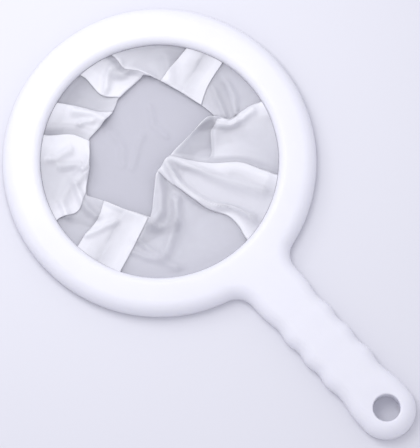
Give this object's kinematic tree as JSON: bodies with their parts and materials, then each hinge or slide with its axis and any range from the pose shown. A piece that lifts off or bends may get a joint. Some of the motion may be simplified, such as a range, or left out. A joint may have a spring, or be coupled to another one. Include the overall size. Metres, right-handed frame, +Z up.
{
  "type": "leaf skimmer net",
  "caption": "Hand skimmer net: a domed plastic ring and finger-waved grip in two welded halves, holding a slack pleated fine-mesh bag that drops open when lifted.",
  "frame": {"origin": "middle of the whole object, on the surface that it lies on", "axes": "+X along the grip from the ring to the hang hole, +Z up out of the ring's mouth"},
  "size_m": [0.2496, 0.15, 0.0095],
  "materials": {
    "shell_plastic": "soft satin white",
    "hoop_plastic": "plain",
    "net_mesh": "sheer fine mesh"
  },
  "bodies": {
    "frame": {"front_shell": "shell_plastic", "back_shell": "shell_plastic", "net_hoop": "hoop_plastic", "net_hem": "net_mesh", "net_wall": "net_mesh"},
    "bag_bottom": {"net_base": "net_mesh"}
  },
  "joints": [
    {"name": "net_drop", "type": "slide", "parent": "frame", "child": "bag_bottom", "axis": [0, 0, -1], "range_m": [0, 0.055], "deforming": ["net_wall"]}
  ]
}
